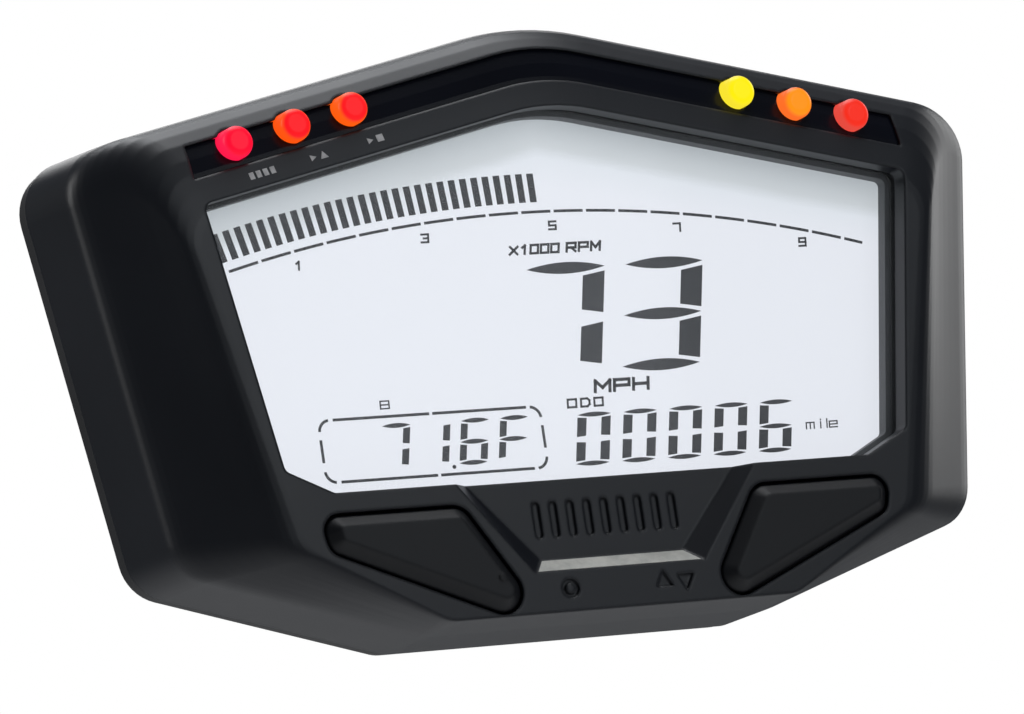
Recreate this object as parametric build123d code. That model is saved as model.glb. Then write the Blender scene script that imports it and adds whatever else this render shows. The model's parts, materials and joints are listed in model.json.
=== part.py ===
from build123d import *
import os

# Motorcycle instrument cluster, in millimetres.
# X points to the rider's right, Y into the dashboard, Z up.
# The origin is the middle of the two rear mounting threads, on the rear face.
# Depths are measured backwards from the flat front face of the bezel.

# ---------------------------------------------------------------- case outline
CASE_WIDTH = 129.6            # across the sharp shoulder corners of the ridge
CASE_HEIGHT = 77.1            # from the sharp peak to the bottom edge of the ridge
CASE_DEPTH = 32.0             # front face to rear face
ORIGIN_RISE = 37.6            # height of the mounting threads above the bottom edge
SHOULDER_DROP = 14.5          # peak down to the shoulder corners
HIP_INSET = 8.5               # hips further in than the shoulders, on each side
HIP_RISE = 10.1               # hips above the bottom edge
FOOT_HALF_WIDTH = 24.5        # half of the straight bottom edge
PEAK_RADIUS = 40.0
SHOULDER_RADIUS = 6.5
HIP_RADIUS = 6.0
FOOT_RADIUS = 5.0
SIDE_DRAFT = 0.8              # the walls flare this much from the ridge to the rim

# --------------------------------------------------------------- front bezel
WALL = 2.2
BEVEL_DEPTH = 7.6             # ridge behind the front face
BEVEL_TOP = 11.0              # height of the bevel above the window
TOP_FULLNESS = 3.0            # 1 for a flat upper bevel, more for a rounder brow
BEVEL_SIDE = 10.7             # width of the bevel beside the window, at the shoulder
BEVEL_HIP = 11.7              # the same at the hip
BEVEL_BOTTOM = 0.6
FACE_SHOULDER_RADIUS = 5.0
FACE_HIP_RADIUS = 4.0
FACE_PEAK_RADIUS = 28.0
RIDGE_ROUNDING = 0.19         # part of the bevel taken up by the rounded ridge
FACE_ROUNDING = 0.2           # part of the bevel taken up by the rounded face edge
ROUNDING_STEPS = 5            # flat steps in each rounded edge
BEVEL_STEPS = 5               # flat steps between the two rounded edges
LIP_DEPTH = 2.7               # thickness of the lip round the window
CAVITY_FACE_INSET = 1.0
CAVITY_RIDGE_SETBACK = 1.9    # inner corner of the cavity behind the ridge

# ------------------------------------------------------------ display window
TOP_RIM = 0.6                 # flat rim above the window
SIDE_RIM = 4.3                # flat face beside the window
WINDOW_TAPER = 5.8            # window narrower at its lower corners, on each side
CORNER_CUT_X = 6.2            # lower corners are cut off
CORNER_CUT_Z = 3.1
WINDOW_SILL = 17.6            # lower edge of the window above the bottom edge
WINDOW_PEAK_RADIUS = 26.0
WINDOW_CORNER_RADIUS = 1.2

# -------------------------------------------- recess between the two buttons
RECESS_TOP_HALF = 21.2
RECESS_BOTTOM_HALF = 12.0
RECESS_SILL = 5.8             # recess above the bottom edge
RECESS_DEPTH = 2.0
RECESS_SLOPE = 1.9            # run of the sloping walls
SLOT_COUNT = 9                # plain vertical grooves moulded into the recess
SLOT_PITCH = 2.4
SLOT_WIDTH = 1.0
SLOT_HEIGHT = 4.6
SLOT_DEPTH = 0.4
SYMBOL_DEPTH = 0.4            # moulded symbols beside the buttons
SYMBOL_SIZE = 2.4
SYMBOL_LINE = 0.55
ARROW_SPACING = 3.1
SYMBOL_X = 7.4
SYMBOL_RISE = 3.6             # symbols above the bottom edge

# --------------------------------------------------------- indicator channel
CHANNEL_LOW = 3.4             # lower edge above the window edge
CHANNEL_HIGH = 7.9            # upper edge above the window edge
CHANNEL_END_INSET = 14.5      # ends of the channel inside the shoulder corners
CHANNEL_DEPTH = 0.4           # the strip lies this far below the bevel
STRIP_THICKNESS = 1.0
STRIP_GAP = 0.1
CHANNEL_PEAK_RADIUS = 26.0

# ------------------------------------------------------------ indicator lights
LAMP_RADIUS = 2.05
LAMP_RISE = 6.35              # lamp centres above the window edge
LAMP_END_INSET = 6.4          # outer lamps inside the ends of the channel
LAMP_PITCH = 8.15
LAMPS_PER_SIDE = 3
LAMP_STANDOUT = 1.9           # lamp tips in front of the brow
LAMP_DOME = 1.0
LAMP_FLANGE_RADIUS = 2.8
LAMP_FLANGE = 1.0
LAMP_CLEARANCE = 0.1
LEAD_RADIUS = 0.25
LEAD_PITCH = 2.54
LEAD_TAIL = 1.0               # leads stand out behind the board
HOLDER_LENGTH = 3.6           # from the lamp flanges to the board
HOLDER_OVERHANG = 5.0         # the holder reaches past the outer lamp centres
HOLDER_LOW = 3.4
HOLDER_HIGH = 8.2
HOLDER_SLOT_LENGTH = 4.2
HOLDER_SLOT_WIDTH = 1.2

# --------------------------------------------------------------- display stack
LENS_THICKNESS = 1.5
LENS_MARGIN = 1.5             # lens larger than the window all round
SEAL_THICKNESS = 0.4
SEAL_WIDTH = 1.2
FRAME_MARGIN = 1.8            # display frame larger than the window all round
FRAME_REVEAL = 0.4            # frame opening smaller than the window
FRAME_LIP = 1.7
FRAME_FOOT_X = 24.0           # feet of the frame either side of the middle
FRAME_FOOT_WIDTH = 4.0
GLASS_MARGIN = 1.0
GLASS_SHEET = 1.1
GUIDE_INSET = 2.6             # light guide smaller than the glass
FILM_THICKNESS = 0.25
GUIDE_THICKNESS = 2.6
FIT_GAP = 0.15
CONTACT_STRIP_HEIGHT = 1.8
CONTACT_STRIP_HALF_LENGTH = 30.0

# ------------------------------------------------------------------ main board
BOARD_GAP = 3.4               # display stack to board
BOARD_THICKNESS = 1.6
BOARD_INSET = 4.6             # board edge inside the ridge outline
BOARD_BOSS_GAP = 0.3
BOARD_POST_RADIUS = 2.6
BOARD_SCREW_RADIUS = 1.0
BOARD_SCREW_LENGTH = 6.0
BOARD_SCREW_HEAD_RADIUS = 1.9
BOARD_SCREW_HEAD = 1.2
BOARD_SCREW_ROUNDING = 0.5
SCREW_ENGAGEMENT = 0.02       # running clearance round a screw shank
BACKLIGHT_COUNT = 9           # lamps in each row behind the light guide
BACKLIGHT_PITCH = 7.0
BACKLIGHT_WIDTH = 3.0
BACKLIGHT_HEIGHT = 1.4
BACKLIGHT_THICKNESS = 0.9
BACKLIGHT_RISE = 6.0          # lower row above the window sill
BACKLIGHT_ROW_SPACING = 18.0
CAPACITOR_RADIUS = 3.0
CAPACITOR_HEIGHT = 2.6
CAPACITOR_X = -37.0
CAPACITOR_Z = -9.0
CAPACITOR_PITCH = 7.5
CAPACITOR_ROUNDING = 0.4
RESISTOR_COUNT = 8            # small parts in each row beside the controller
RESISTOR_PITCH = 2.6
RESISTOR_WIDTH = 1.2
RESISTOR_HEIGHT = 2.0
RESISTOR_THICKNESS = 0.6
RESISTOR_ROWS = (13.0, -8.0)
CHIP_CHAMFER = 0.2
CHIPS = {                     # x, z, width, height, thickness
    "controller_chip": (2.0, 2.0, 14.0, 14.0, 1.4),
    "display_driver": (24.0, 14.0, 9.0, 9.0, 1.2),
    "memory_chip": (-17.0, 11.0, 5.0, 6.2, 1.4),
    "timing_crystal": (-12.0, -4.0, 5.0, 3.2, 1.0),
    "voltage_regulator": (-40.0, 5.0, 6.5, 6.1, 2.3),
}

# ---------------------------------------------------------------------- buttons
BUTTON_TOP_GAP = 2.5          # buttons below the window edge
BUTTON_INNER_TOP_X = 20.6
BUTTON_OUTER_INSET = 4.1      # buttons inside the hip corner of the face
BUTTON_END_HEIGHT = 4.9
BUTTON_OUTER_LEAN = 1.0       # outer ends lean inwards towards the bottom
BUTTON_TOE_X = 9.5            # sharp toe, before it is rounded
BUTTON_TOE_DIP = 2.4          # the same, below the bottom edge
BUTTON_RADIUS = 2.9
BUTTON_END_RADIUS = 2.3
BUTTON_GAP = 0.35
BUTTON_CROWN = 1.2            # crown above the front face
BUTTON_CROWN_SLOPE = 1.5
BUTTON_SKIRT_DEPTH = 0.3
BUTTON_FLANGE = 0.4           # hidden flange larger than the pocket
BUTTON_FLANGE_THICKNESS = 1.0
BUTTON_FLANGE_GAP = 0.25
BUTTON_TRAVEL = 0.8
POST_RADIUS = 2.2
POST_X = 27.0
INDEX_DOT_X = 17.2
INDEX_DOT_RISE = 5.5          # dot above the bottom edge
INDEX_DOT_RADIUS = 0.5
INDEX_DOT_HEIGHT = 0.15

# -------------------------------------------------------------- push switches
SWITCH_SIZE = 6.0
SWITCH_HEIGHT = 3.5
SWITCH_CORNER = 0.5
PLUNGER_RADIUS = 1.75
PLUNGER_HEIGHT = 1.3
PLUNGER_INSERTION = 1.2
PLUNGER_GAP = 0.15

# ------------------------------------------------------------------ rear cover
GASKET_THICKNESS = 0.6
GASKET_WIDTH = 1.6
COVER_FLANGE = 2.0
COVER_EDGE = 0.3              # flange inside the rim outline
COVER_STEP = 2.6              # raised part inside the rim outline
COVER_TAPER = 8.0             # rear face smaller than the ridge outline, all round
COVER_CORNER_RADIUS = 6.0
SPIGOT_LENGTH = 2.0
SPIGOT_WALL = 1.6
SPIGOT_GAP = 0.2
SEAM_SETBACK = 3.4            # rim of the front shell behind the board
BOSS_RADIUS = 3.2
CASE_SCREW_RADIUS = 1.5
CASE_SCREW_HEAD_RADIUS = 2.8
CASE_SCREW_HEAD = 2.0
CASE_SCREW_LENGTH = 12.0
CASE_SCREW_SOCKET_RADIUS = 1.3
CASE_SCREW_SOCKET_DEPTH = 1.2
COUNTERBORE_GAP = 0.4
SCREW_SEAT = 0.4              # screw heads behind the flange of the cover
CASE_SCREW_EDGE = 6.4         # screws inside the case corners

# ------------------------------------------------------------- rear interface
MOUNT_SPACING = 50.0
INSERT_BORE_RADIUS = 2.6
INSERT_RADIUS = 4.0
INSERT_LENGTH = 6.0
INSERT_BOSS_RADIUS = 6.5
SOCKET_HALF_WIDTH = 13.0
SOCKET_HEIGHT = 11.0
SOCKET_DROP = 16.0            # socket centre below the mounting threads
SOCKET_WALL = 1.4
SOCKET_DEPTH = 8.5            # depth of the plug opening
SOCKET_CORNER = 1.5
SOCKET_SEAL_WIDTH = 1.0
PIN_COLUMNS = 8
PIN_ROWS = 2
PIN_PITCH = 2.54
PIN_RADIUS = 0.4
PIN_TIP_INSET = 4.5           # pin tips below the mouth of the socket
VENT_X = 24.0
VENT_Z = -18.0
VENT_RADIUS = 4.0
VENT_SEAT = 2.0               # width of the ledge under the vent cap
VENT_CAP_HEIGHT = 0.9
VENT_HOLE_COUNT = 6
VENT_HOLE_RADIUS = 0.5
MEMBRANE_THICKNESS = 0.3

# -------------------------------------------------------------- derived sizes
FRONT_Y = -CASE_DEPTH
BOTTOM_Z = -ORIGIN_RISE
PEAK_Z = CASE_HEIGHT - ORIGIN_RISE
SHOULDER_X = CASE_WIDTH / 2
HIP_X = SHOULDER_X - HIP_INSET
ROOF_SLOPE = SHOULDER_DROP / SHOULDER_X

FACE_PEAK_Z = PEAK_Z - BEVEL_TOP
FACE_SHOULDER_X = SHOULDER_X - BEVEL_SIDE
FACE_HIP_X = HIP_X - BEVEL_HIP
WINDOW_PEAK_Z = FACE_PEAK_Z - TOP_RIM
WINDOW_SHOULDER_X = FACE_SHOULDER_X - SIDE_RIM
WINDOW_BOTTOM_Z = BOTTOM_Z + WINDOW_SILL
CHANNEL_HALF_LENGTH = SHOULDER_X - CHANNEL_END_INSET
LAMP_OUTER_X = CHANNEL_HALF_LENGTH - LAMP_END_INSET
LAMP_INNER_X = LAMP_OUTER_X - LAMP_PITCH * (LAMPS_PER_SIDE - 1)

LENS_BACK = LIP_DEPTH + LENS_THICKNESS
FRAME_FRONT = LENS_BACK + SEAL_THICKNESS
GLASS_FRONT = FRAME_FRONT + FRAME_LIP
GLASS_BACK = GLASS_FRONT + 2 * GLASS_SHEET
DIFFUSER_BACK = GLASS_BACK + FILM_THICKNESS
GUIDE_BACK = DIFFUSER_BACK + GUIDE_THICKNESS
FRAME_BACK = GUIDE_BACK + FILM_THICKNESS
BOARD_DEPTH = FRAME_BACK + BOARD_GAP
BOARD_BACK = BOARD_DEPTH + BOARD_THICKNESS

LAMP_SHARE = 1 - (1 - (LAMP_RISE - TOP_RIM) / BEVEL_TOP) ** (1 / TOP_FULLNESS)
LAMP_TIP_DEPTH = BEVEL_DEPTH * LAMP_SHARE - LAMP_STANDOUT
LAMP_FLANGE_BACK = BOARD_DEPTH - HOLDER_LENGTH
LAMP_BASE_DEPTH = LAMP_FLANGE_BACK - LAMP_FLANGE

FRONT_SHELL_DEPTH = BOARD_BACK + SEAM_SETBACK
CAVITY_RIDGE_DEPTH = BEVEL_DEPTH + CAVITY_RIDGE_SETBACK
BOSS_END_DEPTH = FRONT_SHELL_DEPTH - SPIGOT_LENGTH
GASKET_BACK = FRONT_SHELL_DEPTH + GASKET_THICKNESS
FLANGE_BACK = GASKET_BACK + COVER_FLANGE
SCREW_SEAT_DEPTH = FLANGE_BACK + SCREW_SEAT
MOUNT_XS = (-MOUNT_SPACING / 2, MOUNT_SPACING / 2)
BUTTON_TOP_Z = WINDOW_BOTTOM_Z - BUTTON_TOP_GAP
BUTTON_OUTER_X = FACE_HIP_X - BUTTON_OUTER_INSET
BUTTON_TOE = (BUTTON_TOE_X, BOTTOM_Z - BUTTON_TOE_DIP)
BUTTON_END = (BUTTON_OUTER_X - BUTTON_OUTER_LEAN, BUTTON_TOP_Z - BUTTON_END_HEIGHT)
BUTTON_EDGE_SLOPE = (BUTTON_END[1] - BUTTON_TOE[1]) / (BUTTON_END[0] - BUTTON_TOE[0])
BUTTON_EDGE_Z = BUTTON_TOE[1] + BUTTON_EDGE_SLOPE * (POST_X - BUTTON_TOE[0])
POST_Z = (BUTTON_TOP_Z + BUTTON_EDGE_Z) / 2
SWITCH_FRONT = BOARD_DEPTH - SWITCH_HEIGHT
PLUNGER_FRONT = SWITCH_FRONT - PLUNGER_HEIGHT


# ------------------------------------------------------------ drawing helpers
def at_depth(depth):
    """Sketch plane at this depth behind the front face: x is X, y is Z."""
    origin = (0, FRONT_Y + depth, 0)
    return Plane(origin=origin, x_dir=(1, 0, 0), z_dir=(0, -1, 0))


def prism(sketch, front, back):
    """Solid with this outline between two depths."""
    return extrude(at_depth(back) * sketch, amount=back - front)


def transition(front_sketch, front, back_sketch, back):
    """Solid that runs straight from one outline to another."""
    return loft([at_depth(front) * front_sketch, at_depth(back) * back_sketch], ruled=True)


def grown(sketch, amount):
    """The outline moved outwards, or inwards for a negative amount."""
    return offset(sketch, amount=amount)


def rod(x, z, radius, front, back):
    """Round bar along Y."""
    return prism(Pos(x, z) * Circle(radius), front, back)


def closed_shape(points, radii):
    """Face inside a polygon with rounded corners, given anticlockwise."""
    return Sketch() + make_face(FilletPolyline(*points, radius=radii, close=True))


def symmetric_shape(corners):
    """Outline with mirrored halves; corners are (x, z, radius) from the peak downwards."""
    left = [(-x, z, radius) for x, z, radius in corners]
    right = [(x, z, radius) for x, z, radius in reversed(corners[1:])]
    points = [(x, z) for x, z, radius in left + right]
    return closed_shape(points, [radius for x, z, radius in left + right])


def roof(peak, x):
    """Height at x of a roof line that starts at this peak."""
    return peak - ROOF_SLOPE * abs(x)


def roof_band(low, high, half_length):
    """Strip that follows the upper window edge, from low to high above it."""
    low_peak = WINDOW_PEAK_Z + low
    high_peak = WINDOW_PEAK_Z + high
    points = [
        (0, high_peak),
        (-half_length, roof(high_peak, half_length)),
        (-half_length, roof(low_peak, half_length)),
        (0, low_peak),
        (half_length, roof(low_peak, half_length)),
        (half_length, roof(high_peak, half_length)),
    ]
    return closed_shape(points, [CHANNEL_PEAK_RADIUS, 0, 0, CHANNEL_PEAK_RADIUS, 0, 0])


def mirror_x(shape):
    return mirror(shape, about=Plane.YZ)


# -------------------------------------------------------------- case outlines
RIDGE_CORNERS = [
    (0, PEAK_Z, PEAK_RADIUS),
    (SHOULDER_X, PEAK_Z - SHOULDER_DROP, SHOULDER_RADIUS),
    (HIP_X, BOTTOM_Z + HIP_RISE, HIP_RADIUS),
    (FOOT_HALF_WIDTH, BOTTOM_Z, FOOT_RADIUS),
]
FACE_CORNERS = [
    (0, FACE_PEAK_Z, FACE_PEAK_RADIUS),
    (FACE_SHOULDER_X, roof(FACE_PEAK_Z, FACE_SHOULDER_X), FACE_SHOULDER_RADIUS),
    (FACE_HIP_X, BOTTOM_Z + HIP_RISE + BEVEL_BOTTOM, FACE_HIP_RADIUS),
    (FOOT_HALF_WIDTH, BOTTOM_Z + BEVEL_BOTTOM, FOOT_RADIUS),
]
REAR_CORNERS = [
    (0, PEAK_Z - COVER_TAPER, PEAK_RADIUS),
    (SHOULDER_X - COVER_TAPER, PEAK_Z - SHOULDER_DROP - COVER_TAPER, COVER_CORNER_RADIUS),
    (HIP_X - COVER_TAPER, BOTTOM_Z + HIP_RISE + COVER_TAPER, COVER_CORNER_RADIUS),
    (FOOT_HALF_WIDTH, BOTTOM_Z + COVER_TAPER, COVER_CORNER_RADIUS),
]
WINDOW_CORNERS = [
    (0, WINDOW_PEAK_Z, WINDOW_PEAK_RADIUS),
    (WINDOW_SHOULDER_X, roof(WINDOW_PEAK_Z, WINDOW_SHOULDER_X), WINDOW_CORNER_RADIUS),
    (WINDOW_SHOULDER_X - WINDOW_TAPER, WINDOW_BOTTOM_Z + CORNER_CUT_Z, WINDOW_CORNER_RADIUS),
    (WINDOW_SHOULDER_X - WINDOW_TAPER - CORNER_CUT_X, WINDOW_BOTTOM_Z, WINDOW_CORNER_RADIUS),
]


def case_section(share):
    """Case outline: 0 at the edge of the flat face, 1 at the ridge, more beyond it."""
    corners = [tuple(f + share * (r - f) for f, r in zip(face, ridge))
               for face, ridge in zip(FACE_CORNERS, RIDGE_CORNERS)]
    if 0 < share < 1:
        brow_rise = BEVEL_TOP * (1 - share - (1 - share) ** TOP_FULLNESS)
        corners[0:2] = [(x, z + brow_rise, radius) for x, z, radius in corners[0:2]]
    return symmetric_shape(corners)


def rounded_corner(start, corner, end):
    """Points of a smooth curve from start to end that is pulled towards the corner."""
    points = []
    for i in range(ROUNDING_STEPS + 1):
        t = i / ROUNDING_STEPS
        weights = ((1 - t) ** 2, 2 * t * (1 - t), t ** 2)
        points.append(tuple(sum(w * p[k] for w, p in zip(weights, (start, corner, end)))
                            for k in (0, 1)))
    return points


RIM_SHARE = 1 + SIDE_DRAFT / BEVEL_SIDE
RIDGE = symmetric_shape(RIDGE_CORNERS)
FACE = symmetric_shape(FACE_CORNERS)
RIM = case_section(RIM_SHARE)
REAR = symmetric_shape(REAR_CORNERS)
WINDOW = symmetric_shape(WINDOW_CORNERS)
LENS_OUTLINE = grown(WINDOW, LENS_MARGIN)
FRAME_OUTLINE = grown(WINDOW, FRAME_MARGIN)
GLASS_OUTLINE = grown(WINDOW, GLASS_MARGIN)
GUIDE_OUTLINE = grown(GLASS_OUTLINE, -GUIDE_INSET)
BOARD_OUTLINE = grown(RIDGE, -BOARD_INSET)


# ------------------------------------------------------------------ positions
def lamp_places():
    """Lamp centres, from the left end of the channel to the right end."""
    xs = [LAMP_INNER_X + LAMP_PITCH * i for i in range(LAMPS_PER_SIDE)]
    xs = [-x for x in reversed(xs)] + xs
    return [(x, roof(WINDOW_PEAK_Z + LAMP_RISE, x)) for x in xs]


def case_screw_places():
    shoulder = (SHOULDER_X - CASE_SCREW_EDGE, PEAK_Z - SHOULDER_DROP - CASE_SCREW_EDGE)
    hip = (HIP_X - CASE_SCREW_EDGE, BOTTOM_Z + HIP_RISE + CASE_SCREW_EDGE)
    top = (0, PEAK_Z - CASE_SCREW_EDGE)
    bottom = (0, BOTTOM_Z + CASE_SCREW_EDGE)
    return [shoulder, (-shoulder[0], shoulder[1]), hip, (-hip[0], hip[1]), top, bottom]


def board_screw_places():
    side_z = (PEAK_Z - SHOULDER_DROP + BOTTOM_Z + HIP_RISE) / 2
    side_x = (SHOULDER_X + HIP_X) / 2 - WALL - BOARD_INSET
    low_x = RECESS_BOTTOM_HALF - BOARD_POST_RADIUS
    return [(side_x, side_z), (-side_x, side_z), (low_x, POST_Z), (-low_x, POST_Z)]


def button_outline():
    """Pocket of the right-hand button in the front face."""
    points = [(BUTTON_OUTER_X, BUTTON_TOP_Z), (BUTTON_INNER_TOP_X, BUTTON_TOP_Z),
              BUTTON_TOE, BUTTON_END]
    radii = [BUTTON_END_RADIUS, BUTTON_RADIUS, BUTTON_RADIUS, BUTTON_END_RADIUS]
    return closed_shape(points, radii)


BUTTON = button_outline()


# --------------------------------------------------------------- front bezel
def outer_form(shift=0.0):
    """Plain form inside the rounded one, moved backwards by shift."""
    bevel = transition(FACE, shift, RIDGE, BEVEL_DEPTH + shift)
    walls = transition(RIDGE, BEVEL_DEPTH + shift, RIM, FRONT_SHELL_DEPTH + shift)
    return bevel + walls


def rounded_form(shift=0.0):
    """Outside of the front shell with its rounded brow and edges, moved back by shift."""
    near = FACE_ROUNDING
    far = 1 - RIDGE_ROUNDING
    rounding_depth = RIDGE_ROUNDING * BEVEL_DEPTH
    wall_end = 1 + (RIM_SHARE - 1) * rounding_depth / (FRONT_SHELL_DEPTH - BEVEL_DEPTH)
    profile = rounded_corner((-near, 0), (0, 0), (near, near * BEVEL_DEPTH))
    for i in range(1, BEVEL_STEPS):
        share = near + (far - near) * i / BEVEL_STEPS
        profile.append((share, share * BEVEL_DEPTH))
    profile += rounded_corner((far, far * BEVEL_DEPTH), (1, BEVEL_DEPTH),
                              (wall_end, BEVEL_DEPTH + rounding_depth))
    profile.append((RIM_SHARE, FRONT_SHELL_DEPTH))
    sections = [at_depth(depth + shift) * case_section(share) for share, depth in profile]
    return loft(sections, ruled=True)


def cavity_form():
    """Inside of the front shell, open at the rear."""
    front = transition(grown(FACE, -CAVITY_FACE_INSET), LIP_DEPTH,
                       grown(RIDGE, -WALL), CAVITY_RIDGE_DEPTH)
    rear = transition(grown(RIDGE, -WALL), CAVITY_RIDGE_DEPTH,
                      grown(RIM, -WALL), FRONT_SHELL_DEPTH)
    return front + rear


def recess_cut():
    """Sloping-walled recess between the buttons, open towards the window."""
    bottom_z = BOTTOM_Z + RECESS_SILL
    lean = (RECESS_TOP_HALF - RECESS_BOTTOM_HALF) / (WINDOW_BOTTOM_Z - bottom_z)
    overlap = CORNER_CUT_Z
    top_z = WINDOW_BOTTOM_Z + overlap
    top_half = RECESS_TOP_HALF + lean * overlap

    def trapezium(inset, rise):
        points = [(top_half - inset, top_z), (inset - top_half, top_z),
                  (inset - RECESS_BOTTOM_HALF, bottom_z + rise),
                  (RECESS_BOTTOM_HALF - inset, bottom_z + rise)]
        return Sketch() + make_face(Polyline(*points, close=True))

    outer = trapezium(-RECESS_SLOPE, -RECESS_SLOPE)
    inner = trapezium(RECESS_SLOPE, RECESS_SLOPE)
    return transition(outer, -RECESS_DEPTH, inner, RECESS_DEPTH)


def recess_grooves():
    """Row of plain grooves in the floor of the recess."""
    middle_z = (WINDOW_BOTTOM_Z + BOTTOM_Z + RECESS_SILL + RECESS_SLOPE) / 2
    first_x = -SLOT_PITCH * (SLOT_COUNT - 1) / 2
    places = [Pos(first_x + SLOT_PITCH * i, middle_z) for i in range(SLOT_COUNT)]
    grooves = Sketch() + [p * SlotOverall(SLOT_HEIGHT, SLOT_WIDTH, rotation=90) for p in places]
    return prism(grooves, RECESS_DEPTH - SLOT_DEPTH, RECESS_DEPTH + SLOT_DEPTH)


def button_symbols():
    """A ring beside the left button, and up and down arrows beside the right one."""
    z = BOTTOM_Z + SYMBOL_RISE
    circle = Circle(SYMBOL_SIZE / 2) - Circle(SYMBOL_SIZE / 2 - SYMBOL_LINE)
    arrow = Triangle(a=SYMBOL_SIZE, b=SYMBOL_SIZE, c=SYMBOL_SIZE)
    sketch = Pos(-SYMBOL_X, z) * circle
    sketch += Pos(SYMBOL_X - ARROW_SPACING / 2, z) * arrow
    sketch += Pos(SYMBOL_X + ARROW_SPACING / 2, z) * Rot(0, 0, 180) * arrow
    return prism(sketch, -SYMBOL_DEPTH, SYMBOL_DEPTH)


def channel_cut(extra_depth, clearance=0.0):
    """The part of the brow in front of a surface this far behind it."""
    band = roof_band(CHANNEL_LOW - clearance, CHANNEL_HIGH + clearance,
                     CHANNEL_HALF_LENGTH + clearance)
    column = prism(band, -1, BEVEL_DEPTH + WALL)
    return column - rounded_form(extra_depth)


def screw_bosses(places, radius, pilot_radius, front, back):
    """Posts on the inside of the bezel with blind pilot holes."""
    posts = Part()
    for x, z in places:
        posts += rod(x, z, radius, front, back)
    holes = Part()
    for x, z in places:
        holes += rod(x, z, pilot_radius, front + WALL, back + 1)
    return posts, holes


def front_bezel():
    shell = rounded_form() - cavity_form()

    bosses, boss_holes = screw_bosses(case_screw_places(), BOSS_RADIUS,
                                      CASE_SCREW_RADIUS + SCREW_ENGAGEMENT, 0, BOSS_END_DEPTH)
    posts, post_holes = screw_bosses(board_screw_places(), BOARD_POST_RADIUS,
                                     BOARD_SCREW_RADIUS + SCREW_ENGAGEMENT, 0, BOARD_DEPTH)
    shell += (bosses + posts) & outer_form(WALL)
    shell -= boss_holes_behind(boss_holes) + boss_holes_behind(post_holes)

    shell -= prism(WINDOW, -1, LIP_DEPTH + 1)
    shell -= prism(grown(LENS_OUTLINE, FIT_GAP), LIP_DEPTH, FRAME_FRONT)
    shell -= prism(grown(FRAME_OUTLINE, FIT_GAP), LENS_BACK, FRAME_BACK + WALL)
    shell -= recess_cut()
    shell -= recess_grooves()
    shell -= button_symbols()
    shell -= channel_cut(CHANNEL_DEPTH + STRIP_THICKNESS)
    for x, z in lamp_places():
        shell -= rod(x, z, LAMP_RADIUS + LAMP_CLEARANCE, -1, LAMP_BASE_DEPTH)
        shell -= rod(x, z, LAMP_FLANGE_RADIUS + LAMP_CLEARANCE, LAMP_BASE_DEPTH, BOARD_DEPTH)
    pocket = prism(BUTTON, -1, LIP_DEPTH + WALL)
    shell -= pocket + mirror_x(pocket)
    return shell


def boss_holes_behind(holes):
    """Pilot holes, kept clear of the outer skin of the bezel."""
    return holes & outer_form(2 * WALL)


# --------------------------------------------------------------- display stack
def ring(outline, width, front, back):
    return prism(outline - grown(outline, -width), front, back)


def window_lens():
    return prism(LENS_OUTLINE, LIP_DEPTH, LENS_BACK)


def lens_seal():
    return ring(LENS_OUTLINE, SEAL_WIDTH, LENS_BACK, FRAME_FRONT)


def display_frame():
    """Frame round the glass, with four feet that stand on the board."""
    opening = grown(WINDOW, -FRAME_REVEAL)
    frame = prism(FRAME_OUTLINE - opening, FRAME_FRONT, GLASS_FRONT)
    rim = FRAME_OUTLINE - grown(GLASS_OUTLINE, FIT_GAP)
    frame += prism(rim, GLASS_FRONT, FRAME_BACK)
    feet = Sketch()
    for x in (-FRAME_FOOT_X, FRAME_FOOT_X):
        feet += Pos(x, 0) * Rectangle(FRAME_FOOT_WIDTH, 2 * CASE_HEIGHT)
    return frame + prism(rim & feet, FRAME_BACK, BOARD_DEPTH)


def backlight_film(front):
    return prism(GUIDE_OUTLINE, front, front + FILM_THICKNESS)


def contact_strip():
    """Rubber connector between the lower edge of the glass and the board."""
    low_z = WINDOW_BOTTOM_Z - GLASS_MARGIN + FIT_GAP
    outline = Pos(0, low_z + CONTACT_STRIP_HEIGHT / 2) * Rectangle(
        2 * CONTACT_STRIP_HALF_LENGTH, CONTACT_STRIP_HEIGHT)
    return prism(outline, GLASS_BACK, BOARD_DEPTH)


def backlight_lamps():
    """Two rows of small lamps on the board, behind the light guide."""
    lamps = []
    first_x = -BACKLIGHT_PITCH * (BACKLIGHT_COUNT - 1) / 2
    low_z = WINDOW_BOTTOM_Z + BACKLIGHT_RISE
    for z in (low_z, low_z + BACKLIGHT_ROW_SPACING):
        for i in range(BACKLIGHT_COUNT):
            place = Pos(first_x + BACKLIGHT_PITCH * i, z)
            outline = place * Rectangle(BACKLIGHT_WIDTH, BACKLIGHT_HEIGHT)
            lamps.append(prism(outline, BOARD_DEPTH - BACKLIGHT_THICKNESS, BOARD_DEPTH))
    return lamps


# ------------------------------------------------------------ indicator lights
def indicator_strip():
    """Gloss black strip that follows the bevel above the window."""
    strip = channel_cut(CHANNEL_DEPTH + STRIP_THICKNESS, -STRIP_GAP)
    strip -= outer_form_above(CHANNEL_DEPTH)
    for x, z in lamp_places():
        strip -= rod(x, z, LAMP_RADIUS + LAMP_CLEARANCE, -1, LAMP_BASE_DEPTH)
    return strip


def outer_form_above(depth):
    """Everything in front of the brow moved back by this depth."""
    block = prism(grown(RIDGE, 1), -2, BEVEL_DEPTH + WALL)
    return block - rounded_form(depth)


def indicator_lamp(x, z):
    """Round lamp with a shallow domed end and a flange at its base."""
    body = rod(x, z, LAMP_RADIUS, LAMP_TIP_DEPTH, LAMP_BASE_DEPTH)
    body = fillet(body.edges().sort_by(Axis.Y)[0], LAMP_DOME)
    return body + rod(x, z, LAMP_FLANGE_RADIUS, LAMP_BASE_DEPTH, LAMP_FLANGE_BACK)


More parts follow.
